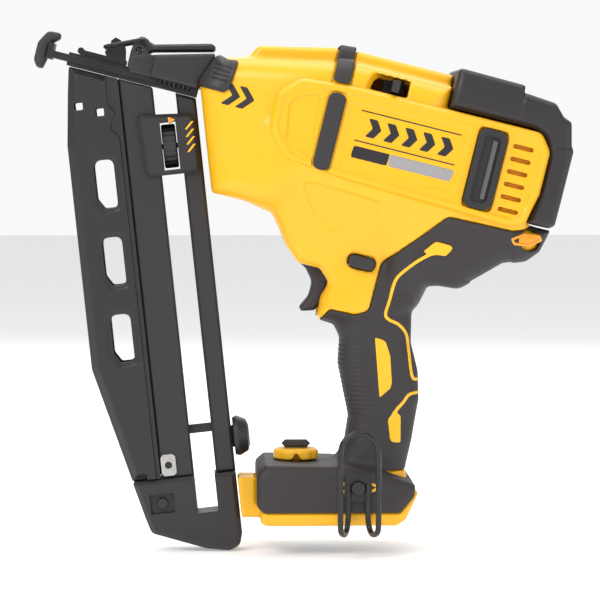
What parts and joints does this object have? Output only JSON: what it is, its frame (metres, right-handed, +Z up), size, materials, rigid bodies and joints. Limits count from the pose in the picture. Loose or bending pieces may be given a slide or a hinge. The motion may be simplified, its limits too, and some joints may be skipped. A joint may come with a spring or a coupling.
{
  "type": "cordless angled finish nailer",
  "caption": "Cordless angled finish nailer, bare tool: two-piece housing, soft grip, angled open magazine, latched nose door, sliding contact trip, trigger with lock-off and belt hook.",
  "frame": {"origin": "middle of the bottom face of the battery receptacle's front wall, on the plane where the battery pack seats", "axes": "+X towards the back of the tool, +Y towards its right side, +Z up; the nose points to -X and the belt hook is at -Y"},
  "size_m": [0.2984, 0.0981, 0.2897],
  "materials": {
    "yellow_plastic": "satin moulded yellow plastic",
    "black_plastic": "satin black glass-filled plastic",
    "black_rubber": "soft black overmould",
    "black_metal": "black coated metal",
    "steel": "bare steel",
    "aluminium": "cast aluminium",
    "copper": "enamelled copper winding",
    "board_green": "circuit board",
    "orange_mark": "orange plastic"
  },
  "bodies": {
    "tool": {"battery_receptacle": "black_plastic", "bearing_left": "steel", "bearing_right": "steel", "belt_hook": "black_metal", "belt_hook_screw": "steel", "contact_trip_spring": "steel", "controller_board": "board_green", "depth_cage": "black_plastic", "drive_frame": "aluminium", "driver_bumper": "black_rubber", "grip_left": "black_rubber", "grip_right": "black_rubber", "housing_left": "yellow_plastic", "housing_right": "yellow_plastic", "housing_screw_1": "black_metal", "housing_screw_2": "black_metal", "housing_screw_3": "black_metal", "housing_screw_4": "black_metal", "lamp_fin_left": "black_plastic", "lamp_fin_right": "black_plastic", "latch_pin": "steel", "magazine_channel": "black_metal", "magazine_end_cap": "black_plastic", "magazine_guard": "black_metal", "magazine_leaf": "steel", "magazine_rear_bar": "black_metal", "magazine_screw": "steel", "motor_stator": "copper", "nose_hood": "black_plastic", "nosepiece": "steel", "rear_cap": "black_plastic", "rear_eyelet_left": "orange_mark", "rear_eyelet_right": "orange_mark", "return_rail_left": "steel", "return_rail_right": "steel", "return_spring_left": "steel", "return_spring_right": "steel", "side_pad_left": "black_rubber", "side_pad_right": "black_rubber", "terminal_block": "black_plastic", "top_strap": "black_plastic", "trigger_pin": "steel", "trigger_spring": "steel", "trigger_switch": "black_plastic", "vent_frame_left": "black_plastic", "vent_frame_right": "black_plastic"},
    "contact_trip": {"contact_trip": "steel", "no_mar_tip": "black_rubber"},
    "latch_lever": {"latch_lever": "black_plastic"},
    "latch_bail": {"latch_bail": "steel"},
    "nose_door": {"nose_door": "steel"},
    "depth_wheel": {"depth_wheel": "black_rubber"},
    "pusher": {"pusher": "black_plastic"},
    "trigger": {"trigger": "black_plastic"},
    "lock_button": {"lock_button": "black_plastic"},
    "selector": {"selector_knob": "orange_mark", "selector_cap": "black_plastic"},
    "stall_lever": {"stall_lever": "black_plastic"},
    "driver": {"driver": "steel"},
    "flywheel": {"flywheel": "steel"}
  },
  "joints": [
    {"name": "trip_slide", "type": "slide", "parent": "tool", "child": "contact_trip", "axis": [0.9703, 0, -0.2419], "range_m": [0, 0.007], "stiffness_N_per_m": 400, "springref_m": -0.01, "deforming": ["contact_trip_spring"]},
    {"name": "latch_hinge", "type": "hinge", "parent": "tool", "child": "latch_lever", "pos_m": [-0.07229, 0, 0.26324], "axis": [0, -1, 0], "range_deg": [0, 75]},
    {"name": "bail_hinge", "type": "hinge", "parent": "latch_lever", "child": "latch_bail", "pos_m": [-0.07084, 0, 0.26906], "axis": [0, -1, 0], "range_deg": [-150, 0]},
    {"name": "door_hinge", "type": "hinge", "parent": "tool", "child": "nose_door", "pos_m": [-0.10479, 0, 0.2631], "axis": [0, -1, 0], "range_deg": [0, 30]},
    {"name": "depth_turn", "type": "hinge", "parent": "tool", "child": "depth_wheel", "pos_m": [-0.05553, 0, 0.21016], "axis": [0.9945, 0, 0.1045], "range_deg": [-360, 360]},
    {"name": "pusher_slide", "type": "slide", "parent": "tool", "child": "pusher", "axis": [-0.1045, 0, 0.9945], "range_m": [0, 0.12]},
    {"name": "trigger_pull", "type": "hinge", "parent": "tool", "child": "trigger", "pos_m": [0.03146, 0, 0.14616], "axis": [0, -1, 0], "range_deg": [0, 10], "stiffness_Nm_per_rad": 0.6, "springref_deg": -17.19, "deforming": ["trigger_spring"]},
    {"name": "lock_slide", "type": "slide", "parent": "tool", "child": "lock_button", "axis": [0, 1, 0], "range_m": [0, 0.004]},
    {"name": "selector_turn", "type": "hinge", "parent": "tool", "child": "selector", "pos_m": [0.015, 0, 0.0342], "axis": [0, 0, 1], "range_deg": [0, 60]},
    {"name": "stall_slide", "type": "slide", "parent": "tool", "child": "stall_lever", "axis": [0.9703, 0, -0.2419], "range_m": [0, 0.005], "stiffness_N_per_m": 200, "springref_m": -0.003},
    {"name": "driver_slide", "type": "slide", "parent": "tool", "child": "driver", "axis": [-0.9703, 0, 0.2419], "range_m": [0, 0.066], "stiffness_N_per_m": 60, "springref_m": -0.03, "deforming": ["return_spring_left", "return_spring_right"]},
    {"name": "flywheel_spin", "type": "hinge", "parent": "tool", "child": "flywheel", "pos_m": [0.10142, 0, 0.17252], "axis": [0, 1, 0], "continuous": true}
  ],
  "couplings": [
    {"joint": "bail_hinge", "follows": "latch_hinge", "ratio": -2},
    {"joint": "door_hinge", "follows": "latch_hinge", "ratio": 0.4}
  ]
}
